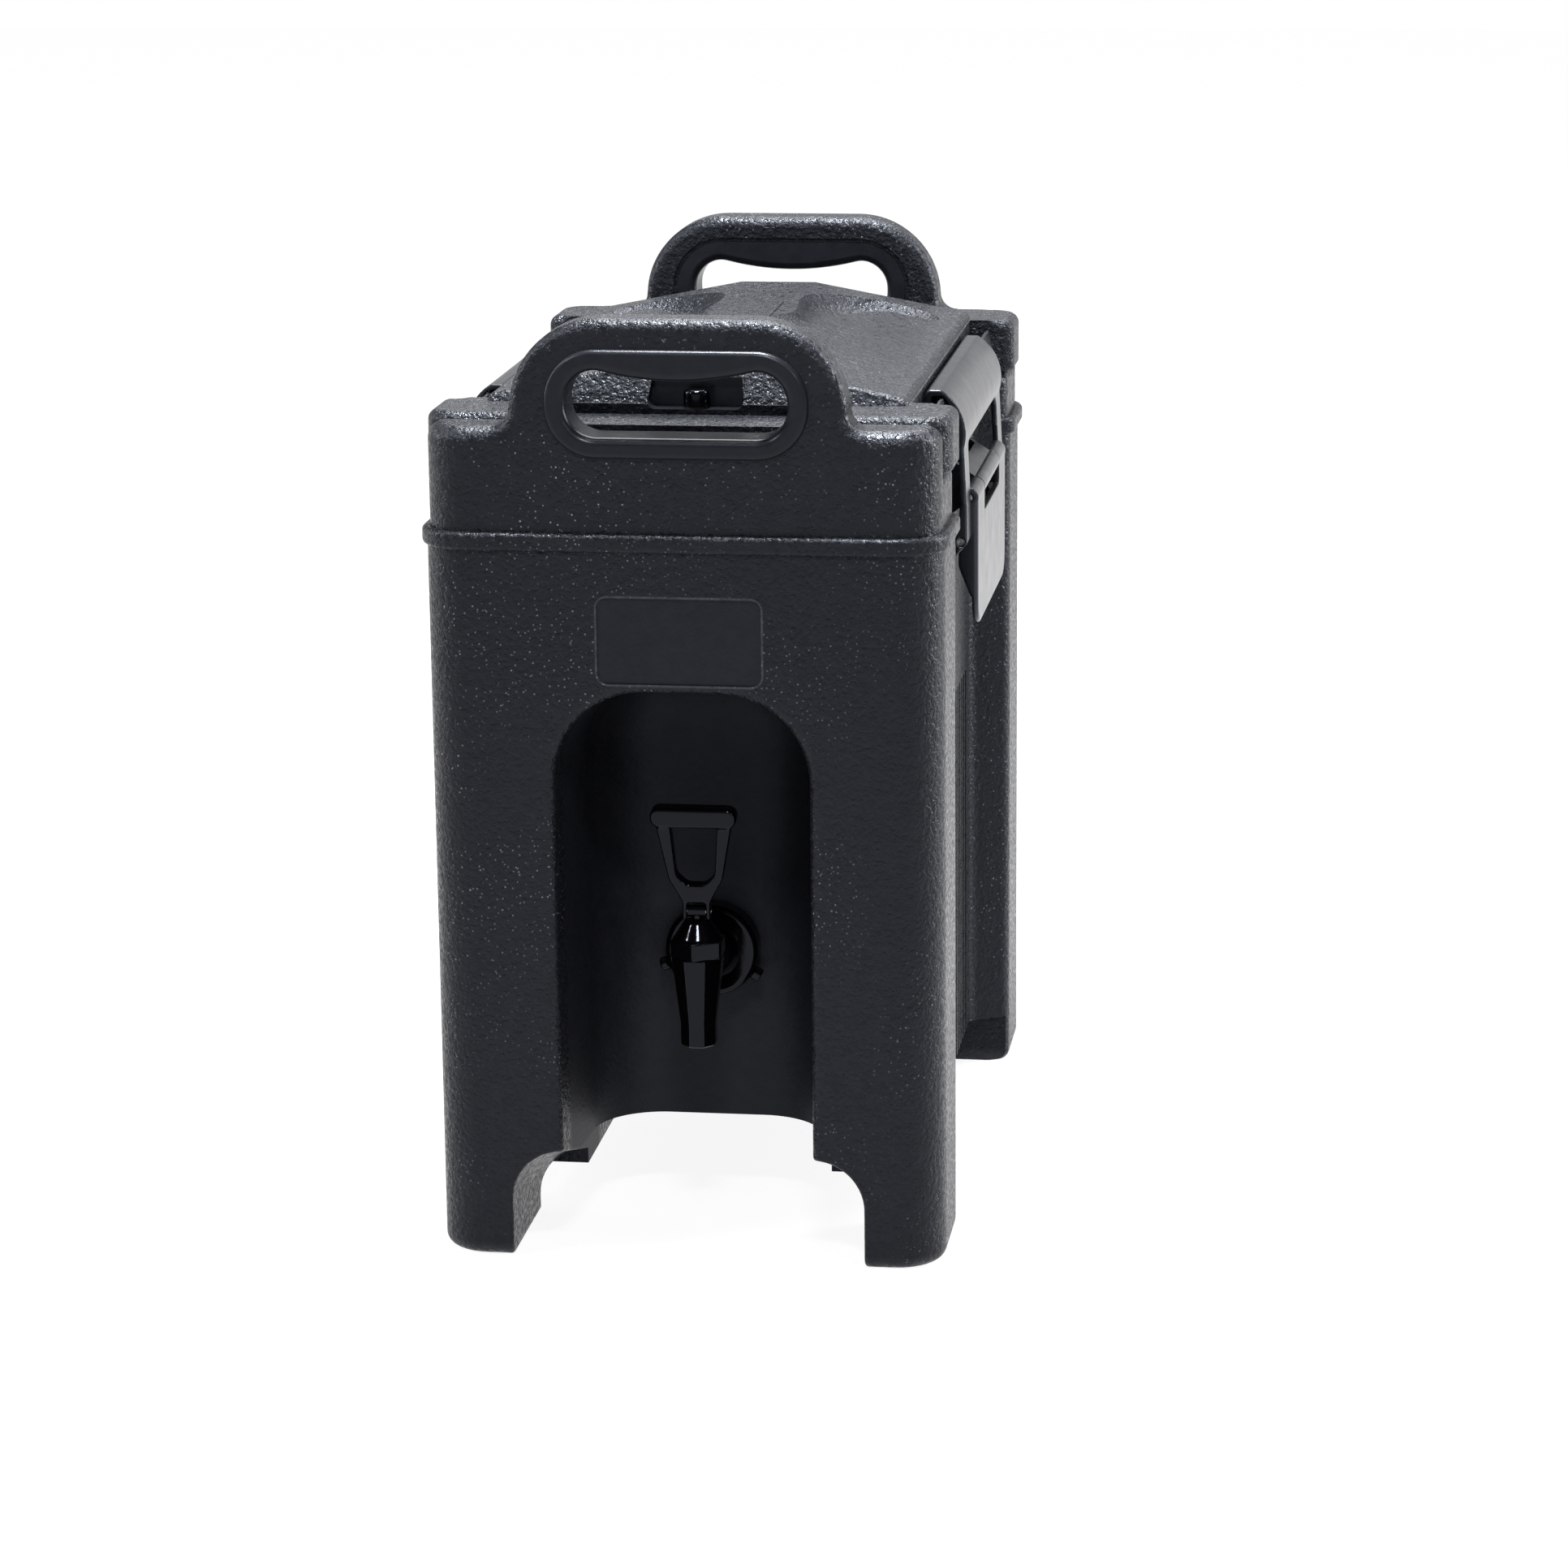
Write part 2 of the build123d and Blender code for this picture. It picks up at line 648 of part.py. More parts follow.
def latch_lever():
    """Moulded lever: face plate, two side flanges and the two outer knuckles."""
    half = lever_half_width
    inner = lever_face - lever_plate
    tall = pivot_z - lever_bottom
    face = Pos(0, lever_bottom + tall / 2) * Rectangle(2 * half, tall)
    face = fillet([v for v in face.vertices() if v.Y < lever_bottom + 1], lever_corner_radius)
    slot = 2 * (knuckle_split + knuckle_gap)
    notch = Pos(0, pivot_z) * RectangleRounded(slot, 2 * knuckle_notch, 3)
    plate = extrude(Plane(origin=(inner, 0, 0), x_dir=(0, 1, 0), z_dir=(1, 0, 0)) * (face - notch),
                    amount=lever_plate)
    outer = [e for e in plate.faces().sort_by(Axis.X)[-1].edges() if e.center().Z < pivot_z - 20]
    plate = fillet(outer, 1.5)
    lever = plate
    for side in (-1, 1):
        ends = sorted((side * half, side * (half - flange_thickness)))
        lever += along_y(lever_flange(), *ends)
        ends = sorted((side * half, side * (knuckle_split + knuckle_gap)))
        lever += rod_y(pivot_x, pivot_z, knuckle_radius, *ends)
    lever -= rod_y(pivot_x, pivot_z, latch_pin_radius + running_clearance, -half - 1, half + 1)
    return lever - rod_y(draw_x, draw_z, latch_pin_radius, -half - 1, half + 1)


def lever_pin():
    return rod_y(pivot_x, pivot_z, latch_pin_radius, -lever_half_width, lever_half_width)


def strap_pins():
    """Two short pins that carry the strap on the lever's flanges."""
    inner = lever_half_width - flange_thickness - 1
    outer = strap_half_width - 4
    return [rod_y(draw_x, draw_z, latch_pin_radius, inner, outer),
            rod_y(draw_x, draw_z, latch_pin_radius, -outer, -inner)]


def strap_section():
    """X-Z section of the strap: hook, crown over the lid's lip and flat lower plate."""
    t = strap_thickness
    low = rail_top + strap_lip_gap
    crown = rail_lip + rail_bevel
    line = Polyline((hook_inner + t, hook_tip), (hook_inner, hook_tip), (hook_inner, low + t - 1.5),
                    (hook_inner + 1.5, low + t), (crown - 1, low + t))
    line += ThreePointArc((crown - 1, low + t), (pivot_x - 3.8, low - 4), (pivot_x, strap_window_top))
    line += Polyline((pivot_x, strap_window_top), (draw_x + t, draw_z + 18), (draw_x, draw_z + 18),
                     (pivot_x - t, strap_window_top))
    line += ThreePointArc((pivot_x - t, strap_window_top), (pivot_x - 3 - t, low - 7), (crown, low))
    line += Polyline((crown, low), (hook_inner + t, low), (hook_inner + t, hook_tip))
    return make_face(line)


def latch_strap():
    """Hooked plate with a window; its two legs hang on the pins outside the lever."""
    half = strap_half_width
    strap = along_y(strap_section(), -half, half)
    window = RectangleRounded(2 * (lever_half_width + strap_gap), 4 * strap_window_rise, 6)
    strap -= extrude(Plane(origin=(pivot_x - 30, 0, strap_window_top - 2 * strap_window_rise),
                           x_dir=(0, 1, 0), z_dir=(1, 0, 0)) * window, amount=60)
    eye = make_face(Polyline((draw_x, draw_z + 19), (draw_x + 3, draw_z + 19), (draw_x + 3.2, draw_z),
                             (draw_x - 2.5, draw_z - 7), (draw_x - 3, draw_z + 3), close=True))
    for side in (-1, 1):
        ends = sorted((side * half, side * (lever_half_width + strap_gap)))
        strap += along_y(eye, *ends)
    return strap - rod_y(draw_x, draw_z, latch_pin_radius + running_clearance, -half - 1, half + 1)


# ---- faucet ----

def upright(radius, z_low, z_high):
    return Pos(0, spout_y, (z_low + z_high) / 2) * Cylinder(radius, z_high - z_low)


def octagon(radius, z):
    return Plane(origin=(0, spout_y, z)) * Rot(0, 0, 22.5) * RegularPolygon(radius, 8)


def faucet_body():
    """Eight-sided spout that narrows to its tip, on a hollow threaded shank."""
    spout = loft([octagon(spout_tip_radius, spout_neck), octagon(spout_top_radius, spout_shoulder)])
    nozzle = extrude(octagon(spout_tip_radius, spout_tip), amount=spout_neck - spout_tip)
    nozzle = chamfer(nozzle.faces().sort_by(Axis.Z)[0].edges(), 1)
    y_end = tank_front + washer_thickness + inner_nut_length + 1
    shank = rod_y(0, shank_z, shank_radius, spout_y, y_end)
    collar_front = -alcove_back - washer_thickness - collar_length
    cone_start = spout_y + bonnet_radius + 1
    cone = Pos(0, (cone_start + collar_front) / 2, shank_z) * Rot(-90, 0, 0)
    cone *= Cone(shank_radius, shank_radius + 5, collar_front - cone_start)
    faucet = spout + nozzle + shank + cone
    faucet -= upright(chamber_radius, chamber_floor, spout_shoulder + 1)
    faucet -= upright(outlet_radius, spout_tip - 1, chamber_floor + 1)
    return faucet - rod_y(0, shank_z, shank_bore, spout_y, y_end + 1)


def faucet_bonnet():
    """Hexagonal cap nut with a domed top that guides the stem."""
    nut = Plane(origin=(0, spout_y, spout_shoulder)) * Rot(0, 0, 30) * RegularPolygon(bonnet_radius, 6)
    nut = extrude(nut, amount=bonnet_hex)
    height = bonnet_top - spout_shoulder - bonnet_hex
    across = bonnet_radius * math.cos(math.pi / 6)
    dome_base = Pos(0, spout_y, bonnet_top - height / 2)
    cap = dome_base * Cone(across - 0.5, across / 2, height)
    cap = fillet(cap.edges().sort_by(Axis.Z)[-1], 2)
    return nut + cap - upright(stem_radius + stem_clearance, spout_shoulder - 1, bonnet_top + 1)


def faucet_stem():
    """Stem from the seat cup up through the bonnet, with a flat head for the handle's pin."""
    stem = upright(stem_radius, chamber_floor + 2, handle_pin_z)
    head = Pos(0, spout_y, handle_pin_z + 0.3) * Box(2 * fork_inner - 0.6, 5.2, 6)
    head = fillet(head.edges().filter_by(Axis.X), 2.4)
    collar = upright(spring_radius + 0.8, chamber_floor + cup_height, chamber_floor + cup_height + 1)
    pin = Pos(0, spout_y, handle_pin_z) * Rot(0, 90, 0) * Cylinder(handle_pin_radius, 40)
    return stem + head + collar - pin


def faucet_seat_cup():
    cup = upright(cup_radius, chamber_floor, chamber_floor + cup_height)
    cup = chamfer(cup.edges().sort_by(Axis.Z)[-1], 1)
    return cup - upright(stem_radius, chamber_floor + 2, chamber_floor + cup_height + 1)


def faucet_spring():
    """Compression spring between the stem's collar and the bonnet."""
    low = chamber_floor + cup_height + 1 + spring_wire
    height = spout_shoulder - spring_wire - low
    pitch = height / spring_turns
    path = Plane(origin=(0, spout_y, low)) * Helix(pitch, height, spring_radius)
    wire = Plane(origin=path @ 0, z_dir=path % 0) * Circle(spring_wire)
    return sweep(wire, path)


def faucet_handle():
    """Open loop handle with a bare front plate and a fork that straddles the stem."""
    w = handle_plate_half_width
    low = handle_grip_top - handle_plate_height
    foot = bonnet_top + 0.3
    shoulder = handle_pin_z + 6
    arm_low = handle_pin_z + 18
    right = [(fork_outer, foot), (fork_outer, shoulder), (13.5, arm_low), (w - 2.4, low + 2)]
    left = [(-x, z) for x, z in reversed(right)]
    loop = make_face(Polyline(*(right + left), close=True))
    loop = fillet([v for v in loop.vertices() if shoulder - 1 < v.Y < arm_low + 1], 8)
    opening = make_face(Polyline((11.5, low), (9.5, arm_low + 2), (4.5, arm_low - 3),
                                 (-4.5, arm_low - 3), (-9.5, arm_low + 2), (-11.5, low), close=True))
    opening = fillet([v for v in opening.vertices() if v.Y < low - 1], 4)
    slot = Pos(0, foot) * Rectangle(2 * fork_inner, 2 * (shoulder - 1 - foot))
    half = handle_depth / 2
    handle_shape = along_y(loop - opening - slot, spout_y - half, spout_y + half)
    plate = along_y(Pos(0, low + handle_plate_height / 2) * RectangleRounded(2 * w, handle_plate_height, 4.5),
                    spout_y - half - 1.5, spout_y + half)
    plate = fillet(plate.faces().sort_by(Axis.Y)[0].edges(), 1.4)
    handle_shape += plate
    angle = math.degrees(math.atan2(handle_lean, handle_grip_top - handle_pin_z))
    upper = handle_shape & slab(40, -body_depth, 0, shoulder, body_width)
    fork = handle_shape & slab(40, -body_depth, 0, 0, shoulder)
    tilt = Pos(0, spout_y, shoulder) * Rot(angle, 0, 0) * Pos(0, -spout_y, -shoulder)
    joined = fork + tilt * upper
    heel = Pos(0, spout_y, shoulder) * Rot(0, 90, 0) * Cylinder(half, 2 * fork_outer)
    heel -= Pos(0, spout_y, foot) * Box(2 * fork_inner, handle_depth + 1, 2 * (shoulder - 1 - foot))
    joined += heel
    return joined - Pos(0, spout_y, handle_pin_z) * Rot(0, 90, 0) * Cylinder(handle_pin_radius, 40)


def faucet_handle_pin():
    return Pos(0, spout_y, handle_pin_z) * Rot(0, 90, 0) * Cylinder(
        handle_pin_radius - running_clearance, 2 * fork_outer)


def ring_y(outer, inner, y_low, y_high):
    return rod_y(0, shank_z, outer, y_low, y_high) - rod_y(0, shank_z, inner, y_low - 1, y_high + 1)


def faucet_outer_washer():
    face = -alcove_back
    return ring_y(collar_radius - 3, shank_radius, face - washer_thickness, face)


def faucet_wing_nut():
    """Round collar with two lugs that clamps the faucet to the alcove wall."""
    back = -alcove_back - washer_thickness
    nut = rod_y(0, shank_z, collar_radius, back - collar_length, back)
    nut = fillet(nut.edges().sort_by(Axis.Y)[0], 3)
    for angle in (-30, 200):
        out = collar_radius
        lug = Pos(0, back - collar_length / 2, shank_z) * Rot(0, -angle, 0) * Pos(out, 0, 0)
        lug *= Rot(0, 90, 0) * Cylinder(3.5, 9)
        nut += lug
    for i in range(3):
        y = back - 2.5 - 3 * i
        nut -= ring_y(collar_radius + 1, collar_radius - 0.8, y - 0.8, y)
    return nut - rod_y(0, shank_z, shank_radius, back - collar_length - 1, back + 1)


def faucet_inner_washer():
    return ring_y(inner_nut_radius - 2, shank_radius, tank_front, tank_front + washer_thickness)


def faucet_inner_nut():
    low = tank_front + washer_thickness
    hexagon = Plane(origin=(0, low, shank_z), x_dir=(1, 0, 0), z_dir=(0, 1, 0))
    nut = extrude(hexagon * RegularPolygon(inner_nut_radius, 6), amount=inner_nut_length)
    return nut - rod_y(0, shank_z, shank_radius, low - 1, low + inner_nut_length + 1)


single_pieces = [
    tank_liner, insulation_foam,
    lid_shell, lid_liner, lid_foam, lid_gasket, vent_cap, vent_seal,
    faucet_body, faucet_bonnet, faucet_stem, faucet_seat_cup, faucet_spring, faucet_handle,
    faucet_handle_pin, faucet_outer_washer, faucet_wing_nut, faucet_inner_washer, faucet_inner_nut,
]
side_pieces = [rib_skin, latch_bracket, bracket_screws, latch_lever, lever_pin, strap_pins, latch_strap]


def main():
    os.makedirs("parts", exist_ok=True)
    for name, piece in body_pieces().items():
        export_step(piece, "parts/" + name + ".step")
    for make in single_pieces:
        export_step(make(), "parts/" + make.__name__ + ".step")
    for make in side_pieces:
        made = make()
        right = Compound(children=made) if isinstance(made, list) else made
        export_step(right, "parts/right_" + make.__name__ + ".step")
        export_step(mirror(right, about=Plane.YZ), "parts/left_" + make.__name__ + ".step")


if __name__ == "__main__":
    main()
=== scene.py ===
import math

import bpy
from mathutils import Matrix, Vector


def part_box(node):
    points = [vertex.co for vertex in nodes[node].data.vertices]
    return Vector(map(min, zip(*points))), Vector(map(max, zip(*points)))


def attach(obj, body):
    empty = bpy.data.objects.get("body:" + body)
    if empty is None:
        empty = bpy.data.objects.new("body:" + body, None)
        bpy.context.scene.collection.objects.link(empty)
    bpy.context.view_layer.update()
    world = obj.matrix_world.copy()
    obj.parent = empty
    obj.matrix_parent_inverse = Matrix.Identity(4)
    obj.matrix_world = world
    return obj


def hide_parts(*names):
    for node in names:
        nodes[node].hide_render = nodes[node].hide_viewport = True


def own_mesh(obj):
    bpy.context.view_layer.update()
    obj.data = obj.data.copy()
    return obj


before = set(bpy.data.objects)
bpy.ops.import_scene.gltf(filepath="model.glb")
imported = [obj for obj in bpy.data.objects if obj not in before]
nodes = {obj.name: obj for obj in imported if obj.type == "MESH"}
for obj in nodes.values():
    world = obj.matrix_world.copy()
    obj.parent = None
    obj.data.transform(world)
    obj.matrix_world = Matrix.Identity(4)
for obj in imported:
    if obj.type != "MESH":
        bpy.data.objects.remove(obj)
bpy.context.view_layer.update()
mm = 0.001
sides = ("right_", "left_")


def linear(hexColour):
    # sRGB hex to the linear colour that a shader takes
    values = [int(hexColour[i:i + 2], 16) / 255 for i in (1, 3, 5)]
    return [v / 12.92 if v <= 0.04045 else ((v + 0.055) / 1.055) ** 2.4 for v in values] + [1.0]


white = linear("#ffffff")
paintedBlueSheen = linear("#e7f0ff")    # the lamps' cool colour, painted into the plastics' reflections as a faint blue sheen


def perMetre(millimetres):
    # a pattern's scale is how many of its cells go into a metre
    return 1 / (millimetres * mm)


def newMaterial(name):
    material = bpy.data.materials.new(name)
    material.use_nodes = True
    material.node_tree.nodes.clear()
    return material, material.node_tree


def addNode(tree, kind, settings=None, links=None):
    # one node, its settings and socket values, and what feeds it; a socket goes by name or number
    node = tree.nodes.new(kind)
    for name, value in (settings or {}).items():
        if isinstance(name, str) and name not in node.inputs:
            setattr(node, name, value)
        else:
            node.inputs[name].default_value = value
    for name, source in (links or {}).items():
        tree.links.new(source, node.inputs[name])
    return node


def setMaterial(names, material):
    for name in names:
        slots = nodes[name].data.materials
        slots.clear()
        slots.append(material)


# the camera in metres and radians: turned to the left, tipped down and rolled a little
cameraPlace = {"place": (0.35613, -2.34236, 0.77738), "yaw": 0.1426, "down": 0.2429,
               "roll": -0.0101, "lens": 106.93, "sensor": 36}
cameraData = bpy.data.cameras.new("camera")
cameraData.lens = cameraPlace["lens"]
cameraData.sensor_width = cameraPlace["sensor"]
camera = bpy.data.objects.new("camera", cameraData)
bpy.context.scene.collection.objects.link(camera)
yaw = Matrix.Rotation(cameraPlace["yaw"], 4, "Z")
turn = yaw @ Matrix.Rotation(math.pi / 2 - cameraPlace["down"], 4, "X")
roll = Matrix.Rotation(cameraPlace["roll"], 4, "Z")
camera.matrix_world = Matrix.Translation(cameraPlace["place"]) @ turn @ roll
bpy.context.scene.camera = camera
print("camera set")

# a floor of matt white paint that reads as pure white: lit from below like a light table,
# and glowing a little less where the object stands, as a painted soft shadow under it
floorLook = {"size": 14, "colour": "#5a5a5a", "roughness": 0.9, "level": 0.2,
             "shadowGlow": 0.9, "glowFar": 0.96, "near": 0.1, "far": 0.5}
bpy.ops.mesh.primitive_plane_add(size=floorLook["size"])
floor = bpy.context.object
floor.name = "floor"
floorPaint, tree = newMaterial("matt_white_paint")
place = addNode(tree, "ShaderNodeTexCoord").outputs["Object"]
reach = addNode(tree, "ShaderNodeVectorMath", {"operation": "LENGTH"}, {0: place})
# the glow dips towards the middle: a painted shadow under the object
glow = addNode(tree, "ShaderNodeMapRange",
               {"interpolation_type": "SMOOTHSTEP",
                "From Min": floorLook["near"], "From Max": floorLook["far"],
                "To Min": floorLook["shadowGlow"], "To Max": floorLook["glowFar"]},
               {"Value": reach.outputs["Value"]})
shader = addNode(tree, "ShaderNodeBsdfPrincipled",
                 {"Base Color": linear(floorLook["colour"]), "Roughness": floorLook["roughness"],
                  "Specular IOR Level": floorLook["level"], "Emission Color": white},
                 {"Emission Strength": glow.outputs["Result"]})
addNode(tree, "ShaderNodeOutputMaterial", None, {"Surface": shader.outputs["BSDF"]})
floor.data.materials.append(floorPaint)

# a white band all round at the horizon, under a dim ceiling, as in a cyclorama
backdropLook = {"horizon": 1.0, "ceiling": 0.1, "bandLow": 0.08, "bandHigh": 0.26}
world = bpy.data.worlds.new("studio")
world.use_nodes = True
tree = world.node_tree
tree.nodes.clear()
place = addNode(tree, "ShaderNodeTexCoord").outputs["Generated"]
height = addNode(tree, "ShaderNodeSeparateXYZ", None, {"Vector": place}).outputs["Z"]
glow = addNode(tree, "ShaderNodeMapRange",
               {"interpolation_type": "SMOOTHSTEP",
                "From Min": backdropLook["bandLow"], "From Max": backdropLook["bandHigh"],
                "To Min": backdropLook["horizon"], "To Max": backdropLook["ceiling"]},
               {"Value": height})
backdrop = addNode(tree, "ShaderNodeBackground", {"Color": white},
                   {"Strength": glow.outputs["Result"]})
addNode(tree, "ShaderNodeOutputWorld", None, {"Surface": backdrop.outputs["Background"]})
bpy.context.scene.world = world
bpy.context.scene.view_settings.view_transform = "Standard"    # black and white stay as they are

# softboxes, in metres and watts, all turned to the middle of the object
lampTarget = Vector((0, 0, 0.25))
lamps = {
    "overhead": {"place": (0.0, -0.1, 2.2), "size": (0.5, 0.4), "power": 210},
    "behind": {"place": (0.1, 1.4, 2.0), "size": (1.6, 0.8), "power": 52},
    "rightSide": {"place": (2.1, 0.8, 1.2), "size": (0.7, 2.2), "power": 105},
    "leftSide": {"place": (-2.2, 0.1, 1.2), "size": (0.4, 2.0), "power": 34},
    "frontLeft": {"place": (-2.0, -1.4, 2.4), "size": (0.3, 0.3), "power": 34},
    "frontTop": {"place": (0.25, -1.7, 2.1), "size": (0.35, 0.2), "power": 42},
    "frontRight": {"place": (1.3, -1.6, 1.3), "size": (0.2, 0.2), "power": 6},
}
for name, lamp in lamps.items():
    data = bpy.data.lights.new(name, "AREA")
    data.shape = "RECTANGLE"
    data.size, data.size_y = lamp["size"]
    data.energy = lamp["power"]
    light = bpy.data.objects.new(name, data)
    bpy.context.scene.collection.objects.link(light)
    aim = lampTarget - Vector(lamp["place"])
    light.rotation_euler = aim.to_track_quat("-Z", "Y").to_euler()
    light.location = lamp["place"]
print("studio set")


def zoneMask(tree, place, zone, grow=0.0):
    # 1 inside a box with rounded edges, fading to 0 over its soft edge; an axis of 0 is left out
    nothing = (0, 0, 0)
    for operation, value in (("MULTIPLY", zone["axes"]), ("SUBTRACT", zone["centre"]),
                             ("ABSOLUTE", nothing), ("SUBTRACT", zone["inner"]),
                             ("MAXIMUM", nothing)):
        place = addNode(tree, "ShaderNodeVectorMath", {"operation": operation, 1: value},
                        {0: place}).outputs[0]
    reach = addNode(tree, "ShaderNodeVectorMath", {"operation": "LENGTH"}, {0: place})
    edge = zone["radius"] + grow
    mask = addNode(tree, "ShaderNodeMapRange",
                   {"interpolation_type": "SMOOTHSTEP", "From Min": edge,
                    "From Max": edge + zone["soft"], "To Min": 1.0, "To Max": 0.0},
                   {"Value": reach.outputs["Value"]})
    return mask.outputs["Result"]


def polyethylene(name, zones, relief=1.0):
    # rotomoulded polyethylene: black, pebbled all over by the blasted mould, so that it is dull
    # with fine sparkle along the round edges, with painted light specks as glints all over,
    # and smoother where the mould is polished
    look = {
        "colour": "#0b0c0f", "chalk": "#15161a", "ior": 1.51, "level": 0.16,
        "burnished": 0.2, "dull": 0.5, "grainLow": 0.35, "grainHigh": 0.65,
        "gritShare": 0.12, "peelShare": 0.5, "depth": 0.75,
        "swell": 0.35, "swellDepth": 3,    # walls that pull in a little as they cool
        "scuff": "#3a3b3e", "scuffHeight": 7,
        # light specks painted on the grain as glints, a few mm apart, in clusters
        "paintedGlint": "#9a9da6", "glintGap": 2.6, "glintSize": 0.4, "glintFade": 0.4,
        "clusterLow": 0.4, "clusterHigh": 0.62,
    }
    # sizes in mm; the blasted grains are about 0.5 mm, and drawn coarser so that they show
    layers = {"pebble": {"size": 2.4, "detail": 2.0}, "grit": {"size": 1.2, "detail": 1.0},
              "peel": {"size": 7, "detail": 2.0}, "wave": {"size": 60, "detail": 1.0}}
    material, tree = newMaterial(name)
    place = addNode(tree, "ShaderNodeTexCoord").outputs["Object"]
    noise = {}
    for layer, pattern in layers.items():
        noise[layer] = addNode(tree, "ShaderNodeTexNoise",
                               {"Scale": perMetre(pattern["size"]), "Detail": pattern["detail"]},
                               {"Vector": place}).outputs["Fac"]
    grain = noise["pebble"]
    for layer, share in (("peel", look["peelShare"]), ("grit", look["gritShare"])):
        grain = addNode(tree, "ShaderNodeMath", {"operation": "MULTIPLY_ADD", 1: share},
                        {0: noise[layer], 2: grain}).outputs[0]
    colour = addNode(tree, "ShaderNodeMix",
                     {"data_type": "RGBA", 6: linear(look["colour"]), 7: linear(look["chalk"])},
                     {0: noise["peel"]}).outputs[2]
    rough = addNode(tree, "ShaderNodeMapRange",
                    {"From Min": look["grainLow"], "From Max": look["grainHigh"],
                     "To Min": look["burnished"], "To Max": look["dull"]},
                    {"Value": noise["pebble"]}).outputs["Result"]

    # scuffs where the feet slide on counters
    height = addNode(tree, "ShaderNodeSeparateXYZ", None, {"Vector": place}).outputs["Z"]
    scuff = addNode(tree, "ShaderNodeMapRange",
                    {"From Min": 0.0, "From Max": look["scuffHeight"] * mm,
                     "To Min": 1.0, "To Max": 0.0}, {"Value": height}).outputs["Result"]
    scuff = addNode(tree, "ShaderNodeMath", {"operation": "MULTIPLY"},
                    {0: scuff, 1: noise["peel"]}).outputs[0]
    colour = addNode(tree, "ShaderNodeMix", {"data_type": "RGBA", 7: linear(look["scuff"])},
                     {0: scuff, 6: colour}).outputs[2]

    # painted glints: light specks that stand for the sparkle of the lamps on the grain,
    # a few millimetres apart, in loose clusters
    glintCells = addNode(tree, "ShaderNodeTexVoronoi", {"Scale": perMetre(look["glintGap"])},
                   {"Vector": place})
    reach = look["glintSize"] / look["glintGap"]
    paintedGlint = addNode(tree, "ShaderNodeMapRange",
                    {"From Min": reach * (1 - look["glintFade"]),
                     "From Max": reach * (1 + look["glintFade"]), "To Min": 1.0, "To Max": 0.0},
                    {"Value": glintCells.outputs["Distance"]}).outputs["Result"]
    cluster = addNode(tree, "ShaderNodeMapRange",
                      {"From Min": look["clusterLow"], "From Max": look["clusterHigh"]},
                      {"Value": noise["wave"]}).outputs["Result"]
    for share in (cluster, noise["peel"], glintCells.outputs["Color"]):
        paintedGlint = addNode(tree, "ShaderNodeMath", {"operation": "MULTIPLY"},
                        {0: paintedGlint, 1: share}).outputs[0]

    # each zone draws relief, roughness and painted glints towards its own, and may get a
    # painted highlight along its edge
    strength = addNode(tree, "ShaderNodeValue").outputs[0]
    strength.default_value = relief
    for zone in zones:
        mask = zoneMask(tree, place, zone)
        strength, rough, paintedGlint = [
            addNode(tree, "ShaderNodeMix", {3: calm}, {0: mask, 2: usual}).outputs[0]
            for usual, calm in ((strength, zone["relief"]), (rough, zone["roughness"]),
                                (paintedGlint, 0.0))]
        # a light line along the zone's edge, flecked by the grain: a painted highlight on the step
        if "outline" in zone:
            wide = zoneMask(tree, place, zone, zone["outline"])
            line = addNode(tree, "ShaderNodeMath", {"operation": "SUBTRACT"},
                           {0: wide, 1: mask}).outputs[0]
            line = addNode(tree, "ShaderNodeMath", {"operation": "MULTIPLY"},
                           {0: line, 1: noise["pebble"]}).outputs[0]
            colour = addNode(tree, "ShaderNodeMix",
                             {"data_type": "RGBA", 7: linear(zone["outlineColour"])},
                             {0: line, 6: colour}).outputs[2]
    colour = addNode(tree, "ShaderNodeMix", {"data_type": "RGBA", 7: linear(look["paintedGlint"])},
                     {0: paintedGlint, 6: colour}).outputs[2]

    fine = addNode(tree, "ShaderNodeBump", {"Distance": look["depth"] * mm},
                   {"Height": grain, "Strength": strength})
    bump = addNode(tree, "ShaderNodeBump",
                   {"Strength": look["swell"], "Distance": look["swellDepth"] * mm},
                   {"Height": noise["wave"], "Normal": fine.outputs["Normal"]})
    shader = addNode(tree, "ShaderNodeBsdfPrincipled",
                     {"IOR": look["ior"], "Specular IOR Level": look["level"],
                      "Specular Tint": paintedBlueSheen},
                     {"Base Color": colour, "Roughness": rough, "Normal": bump.outputs["Normal"]})
    addNode(tree, "ShaderNodeOutputMaterial", None, {"Surface": shader.outputs["BSDF"]})
    return material


def smoothMoulding(name, look):
    # an even colour, with slow changes of gloss and height where the plastic flowed
    flowLook = {"detail": 3.0, "spread": 0.2, "depth": 0.5}
    material, tree = newMaterial(name)
    place = addNode(tree, "ShaderNodeTexCoord").outputs["Object"]
    flow = addNode(tree, "ShaderNodeTexNoise",
                   {"Scale": perMetre(look["flow"]), "Detail": flowLook["detail"]},
                   {"Vector": place}).outputs["Fac"]
    rough = addNode(tree, "ShaderNodeMapRange",
                    {"To Min": look["roughness"] * (1 - flowLook["spread"]),
                     "To Max": look["roughness"] * (1 + flowLook["spread"])},
                    {"Value": flow}).outputs["Result"]
    bump = addNode(tree, "ShaderNodeBump",
                   {"Strength": look["relief"], "Distance": flowLook["depth"] * mm},
                   {"Height": flow})
    shader = addNode(tree, "ShaderNodeBsdfPrincipled",
                     {"Base Color": linear(look["colour"]), "IOR": look["ior"],
                      "Specular IOR Level": look["level"], "Specular Tint": look["tint"]},
                     {"Roughness": rough, "Normal": bump.outputs["Normal"]})
    addNode(tree, "ShaderNodeOutputMaterial", None, {"Surface": shader.outputs["BSDF"]})
    return material


